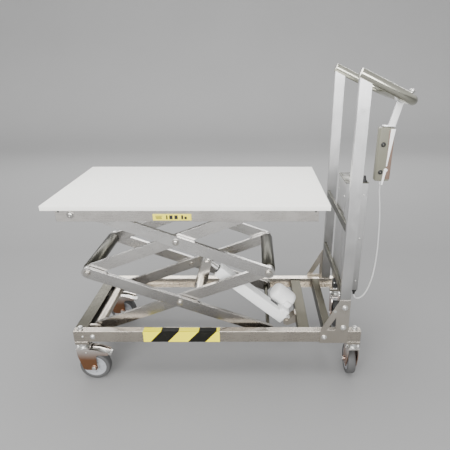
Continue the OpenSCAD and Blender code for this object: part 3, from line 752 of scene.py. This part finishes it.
# ------------------------------------------------------------------ battery housing, gland, socket
bm = bmesh.new()
for z in (400, 760):
    for y in (-85, 20):
        dome_head(bm, (441, y, z), (-1, 0, 0), 4, 2.6)
        dome_head(bm, (525, y, z), (1, 0, 0), 4, 2.6)
for z in (400, 590, 770):
    dome_head(bm, (512, -100, z), (0, -1, 0), 3.4, 2.2)
finish_mesh(bm, "housing_screws", "base", ZINC)
# rolled lip round the top of the housing
bm = bmesh.new()
for a, b in (((441, -100), (525, -100)), ((525, -100), (525, 36)), ((525, 36), (441, 36)),
             ((441, 36), (441, -100))):
    rod(bm, (a[0], a[1], 818), (b[0], b[1], 818), 2.1, 16)
    bmesh.ops.create_icosphere(bm, subdivisions=2, radius=2.1 * MM,
                               matrix=Matrix.Translation(Vector((a[0], a[1], 818)) * MM))
finish_mesh(bm, "housing_lip", "base", STEEL_Y)
bm = bmesh.new()
low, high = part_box("battery_pack")
vs = box(bm, low / MM, high / MM)
round_edges(bm, vs, 4, 3)
finish_mesh(bm, "battery_block", "base", BLACK, ("battery_pack",), 30)
bm = bmesh.new()
vs = box(bm, (444, -66, 802), (521, 33, 814))
round_edges(bm, vs, 1.2, 2)
vs = box(bm, (444, -97, 802), (502, -64, 814))
round_edges(bm, vs, 1.2, 2)
for x, y in ((452, 24), (512, 24), (452, -88)):
    dome_head(bm, (x, y, 814), (0, 0, 1), 3.4, 2)
finish_mesh(bm, "battery_cover", "base", STEEL_Y)
bm = bmesh.new()
vs = box(bm, (504, -94, 802), (521, -70, 826))
round_edges(bm, vs, 3, 3)
turned(bm, [(0, 0), (7.5, 0), (7.2, 4), (5, 12), (4.4, 18), (0, 18)], facing((512.5, -82, 824), (0, 0, 1)),
       32)
finish_mesh(bm, "battery_connector", "base", BLACK, ("battery_plug",), 30)
bm = bmesh.new()
hexa = rod(bm, (513, -90, 346), (513, -90, 356), 10, 6)
round_edges(bm, hexa, 0.8, 2)
turned(bm, [(3.2, -14), (4.4, -14), (5.0, -10), (5.6, -4), (7.2, 0), (7.6, 1.2), (7.6, 2.2), (3.2, 2.2)],
       facing((513, -90, 346), (0, 0, 1)), 32)
finish_mesh(bm, "lead_gland", "base", BLACK, ("cord_gland",), 30)
bm = bmesh.new()
vs = box(bm, (423, -98, 358), (441, -64, 394))
round_edges(bm, vs, 2.5, 3)
turned(bm, [(6, 0), (9.5, 0), (9.5, 3.5), (8.7, 4.4), (6, 4.4), (6, 1), (0, 1)],
       facing((432, -98, 376), (0, -1, 0)), 32)
finish_mesh(bm, "charge_socket", "base", BLACK, ("socket_box",), 30)
bm = bmesh.new()
for x, y, z in ((427, -98.2, 389), (437, -98.2, 362), (427, -98.2, 362), (437, -98.2, 389)):
    dome_head(bm, (x, y, z), (0, -1, 0), 2.6, 1.8)
finish_mesh(bm, "socket_screws", "base", PALE)

# ------------------------------------------------------------------ hand control
BUTTON_X = 574
BUTTONS = (("up", 955, 1), ("down", 850, -1))
bm = bmesh.new()
vs = box(bm, (556, -66, 815), (612, -30, 1015))
lon = [e for e in edges_of(vs) if abs((e.verts[0].co - e.verts[1].co).z) > 0.1]
bmesh.ops.bevel(bm, geom=lon, offset=0.009, offset_type="OFFSET", affect="EDGES", segments=6, profile=0.5,
                material=-1)
round_edges(bm, [v for v in bm.verts], 3, 4, 60)
vs = box(bm, (572, -56, 1013), (596, -40, 1019))
round_edges(bm, vs, 1.5, 2)
finish_mesh(bm, "handset_shell", "base", HANDSET, ("handset_body",), 30)
def slanted(bm, low, high, y0, y1, width=1.0):
    """A tapering flat band between two (x0, x1, z) ends, in mm."""
    a = [(low[0], low[2]), (low[1], low[2]), (high[1], high[2]), (high[0], high[2])]
    front = [bm.verts.new(Vector((x, y0, z)) * MM) for x, z in a]
    back = [bm.verts.new(Vector((x, y1, z)) * MM) for x, z in a]
    bm.faces.new(front)
    bm.faces.new(back[::-1])
    for i in range(4):
        bm.faces.new((front[i], back[i], back[(i + 1) % 4], front[(i + 1) % 4]))
    bmesh.ops.recalc_face_normals(bm, faces=bm.faces)
    round_edges(bm, front + back, width, 3)


bm = bmesh.new()
for _, z, _ in BUTTONS:
    turned(bm, [(9.3, 0), (10.6, 0), (10.6, 0.9), (10.0, 1.4), (9.3, 1.4)],
           facing((BUTTON_X, -65.6, z), (0, -1, 0)), 40)
finish_mesh(bm, "button_collars", "base", HANDSET, (), 30)
bm = bmesh.new()
slanted(bm, (594, 611.4, 822), (590, 611.6, 1008), -67.5, -55, 2.5)
finish_mesh(bm, "handset_side_grip", "base", REDDISH, (), 30)
bm = bmesh.new()
slanted(bm, (592, 596, 872), (596, 613, 1012), -69.6, -64, 1.6)
slanted(bm, (580.5, 587.5, 800), (586, 597, 856), -68.4, -58, 1.6)
turned(bm, [(3.2, 0), (4.4, 0), (5.2, 4), (5.4, 8), (6, 18), (6, 18.5), (0, 18.5)],
       facing((584, -48, 797), (0, 0, 1)), 32)
vs = rod(bm, (593, -70, 858), (593, -64, 858), 7, 24)
round_edges(bm, vs, 1.6, 3)
finish_mesh(bm, "handset_trim", "base", PALE, (), 30)
for name, z, up in BUTTONS:
    bm = bmesh.new()
    turned(bm, [(0, 0), (9, 0), (9, 5), (8.6, 6), (7.4, 6.6), (0, 6.9)],
           facing((BUTTON_X, -62.5, z), (0, -1, 0)), 40)
    b2 = [bm.verts.new(Vector((BUTTON_X + dx, -69.3, z + up * dzz)) * MM) for dx,
          dzz in ((-2.4, -1.6), (2.4, -1.6), (0, 2.4))]
    f = bm.faces.new(b2)
    ext = bmesh.ops.extrude_face_region(bm, geom=[f])
    bmesh.ops.translate(bm, verts=[g for g in ext["geom"] if isinstance(g, bmesh.types.BMVert)],
                        vec=(0, -0.0007, 0))
    for face in bm.faces:
        face.material_index = int(all(v.co.y < -0.0692 for v in face.verts))
    finish_mesh(bm, "press_" + name, "button_" + name, [BLACK, HANDSET],
                ("handset_button_" + name,), 30)
# pale sleeve over the hanging band
bm = bmesh.new()
slanted(bm, (588.5, 613.5, 1021), (611.5, 635.5, 1107), -55.5, -44.5, 2.0)
finish_mesh(bm, "handset_band_sleeve", "base", PALE, (), 30)

# ------------------------------------------------------------------ knob on the handle
bm = bmesh.new()
n = Vector((math.sin(math.radians(25)), 0, math.cos(math.radians(25))))
turned(bm, [(0, -2), (6.5, -2), (6.5, 2), (8.6, 3.4), (9.4, 6), (9.0, 9), (6.8, 11.6), (3, 12.8), (0, 13)],
       facing(Vector((594 + 7.1, -208, 1137.4 + 15.3)), n), 40)
finish_mesh(bm, "handle_knob", "base", ZINC, (), 30)

# ------------------------------------------------------------------ tape and plate
def striped():
    """Yellow and black slanted bars, worn a little at the edges."""
    m, t, b = start_material("hazard tape", specular=0.1)
    v = object_vector(t)
    s = put(t, "ShaderNodeSeparateXYZ", [("Vector", v)])
    lean = math_node(t, "SUBTRACT", s.outputs["X"],
                     math_node(t, "MULTIPLY", math_node(t, "SUBTRACT", s.outputs["Z"], 0.191), 0.92))
    cell = math_node(t, "FRACT", math_node(t, "DIVIDE", math_node(t, "ADD", lean, 0.92), 0.150))
    wave = math_node(t, "ADD", cell, remap(t, noise(t, v, 260, 3), 0.3, 0.7, -0.006, 0.006))
    black = math_node(t, "LESS_THAN", wave, 0.47)
    scuff = remap(t, noise(t, v, 45, 5, 0.7, 0.6), 0.55, 0.8, 0.0, 0.35)
    yellow = blend_colour(t, scuff, (0.96, 0.86, 0.02), (0.80, 0.70, 0.06))
    dark = blend_colour(t, scuff, (0.012, 0.012, 0.010), (0.06, 0.057, 0.05))
    t.links.new(blend_colour(t, black, yellow, dark), b.inputs["Base Color"])
    t.links.new(remap(t, noise(t, v, 90, 4), 0.3, 0.7, 0.3, 0.5), b.inputs["Roughness"])
    bump_into(t, b, noise(t, v, 320, 3), 0.00008, 0.4)
    return m


TAPE = striped()
YELLOW = skinned("yellow plate", (0.95, 0.84, 0.07), 0.36, 1400.0, 0.12, 0.00003)
bm = bmesh.new()
vs = box(bm, (-346, -225.4, 191.6), (-41, -224.9, 241.4))
vs = box(bm, (-346, -225.4, 240.9), (-41, -199, 241.4))
finish_mesh(bm, "hazard_tape", "base", TAPE)
bm = bmesh.new()
vs = box(bm, (-260, -235.9, 721.5), (-124, -234.9, 746))
round_edges(bm, vs, 0.3, 2)
finish_mesh(bm, "rating_plate", "table", YELLOW)
bm = bmesh.new()
for x0, x1, z in ((-251, -226, 738), (-250, -229, 733.5), (-249, -228, 729)):
    box(bm, (x0, -236.15, z - 1.1), (x1, -235.8, z + 1.1))
for x0, x1, zlo, zhi in ((-213, -208, 726, 741), (-202, -190, 726, 741), (-184, -172, 726, 741),
                         (-160, -153, 726, 741), (-149, -140, 726, 736)):
    vs = box(bm, (x0, -236.15, zlo), (x1, -235.8, zhi))
    round_edges(bm, vs, 0.1, 1)
finish_mesh(bm, "rating_plate_marks", "table", BLACK)

# ------------------------------------------------------------------ the stage
def stage_material():
    m, t, b = start_material("studio floor", specular=0.2)
    v = object_vector(t)
    n = noise(t, v, 1.3, 3)
    k = remap(t, n, 0.3, 0.7, 0.985, 1.015)
    depth = put(t, "ShaderNodeSeparateXYZ", [("Vector", v)])
    # painted light: the grey grows lighter towards the back wall and is slightly lighter in front of the
    # object, making up for the lamps' fall-off
    far = remap(t, depth.outputs["Y"], 1.0, 5.2, 0.0, 1.0)
    near = remap(t, depth.outputs["Y"], -1.4, -0.3, 0.0, 1.0)
    body = math_node(t, "ADD", math_node(t, "MULTIPLY", far, 0.23),
                     math_node(t, "SUBTRACT", 0.275, math_node(t, "MULTIPLY", near, 0.02)))
    shade = math_node(t, "MULTIPLY", k, body)
    grey = put(t, "ShaderNodeCombineColor", [("Red", shade), ("Green", shade), ("Blue", shade)]).outputs[0]
    t.links.new(grey, b.inputs["Base Color"])
    b.inputs["Roughness"].default_value = 0.9
    return m


bm = bmesh.new()
FLOOR_REACH, FLOOR_BACK, SWEEP_R, WALL_TOP = 9.0, 4.0, 1.6, 2.2
line = [(-FLOOR_REACH, 0.0), (FLOOR_BACK, 0.0)]
line += [(FLOOR_BACK + SWEEP_R * math.sin(math.radians(a)), SWEEP_R - SWEEP_R * math.cos(math.radians(a)))
         for a in range(6, 91, 6)]
line += [(FLOOR_BACK + SWEEP_R, WALL_TOP)]
sides = [[bm.verts.new((x, y, z)) for y, z in line] for x in (-FLOOR_REACH, FLOOR_REACH)]
for k in range(len(line) - 1):
    bm.faces.new((sides[0][k], sides[1][k], sides[1][k + 1], sides[0][k + 1])).smooth = True
me = bpy.data.meshes.new("studio_floor")
bm.to_mesh(me)
bm.free()
floor = bpy.data.objects.new("studio_floor", me)
scene.collection.objects.link(floor)
me.materials.append(stage_material())
floor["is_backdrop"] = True


def lamp(name, where, aim, size, power, colour=(1, 1, 1)):
    d = bpy.data.lights.new(name, "AREA")
    d.shape = "RECTANGLE"
    d.size, d.size_y = size
    d.energy = power
    d.color = colour
    o = bpy.data.objects.new(name, d)
    o.location = where
    o.rotation_euler = (Vector(aim) - Vector(where)).to_track_quat("-Z", "Y").to_euler()
    scene.collection.objects.link(o)
    return o


lamp("overhead_soft", (-0.4, -0.2, 3.4), (0.0, 0.0, 0.4), (3.0, 2.4), 105)
lamp("front_soft", (-0.6, -3.8, 1.9), (0, 0, 0.7), (4.5, 1.6), 275)
lamp("rear_strip", (-0.1, 3.5, 2.2), (0, 0, 0.6), (6.5, 0.55), 110)
world = bpy.data.worlds.new("studio")
scene.world = world
world.use_nodes = True
wt = world.node_tree
bg = wt.nodes["Background"]
co = wt.nodes.new("ShaderNodeTexCoord")
sep = put(wt, "ShaderNodeSeparateXYZ", [("Vector", co.outputs["Generated"])])
ramp = put(wt, "ShaderNodeValToRGB", [("Fac", remap(wt, sep.outputs["Z"], -1.0, 1.0, 0.0, 1.0))])
ramp.color_ramp.elements[0].color = (0.22, 0.20, 0.17, 1)
ramp.color_ramp.elements[1].color = (0.70, 0.70, 0.70, 1)
for at, value in ((0.46, 0.40), (0.54, 0.85), (0.68, 1.15)):
    ramp.color_ramp.elements.new(at).color = (value, value, value, 1)
wt.links.new(ramp.outputs[0], bg.inputs["Color"])
bg.inputs["Strength"].default_value = 0.9

low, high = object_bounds()
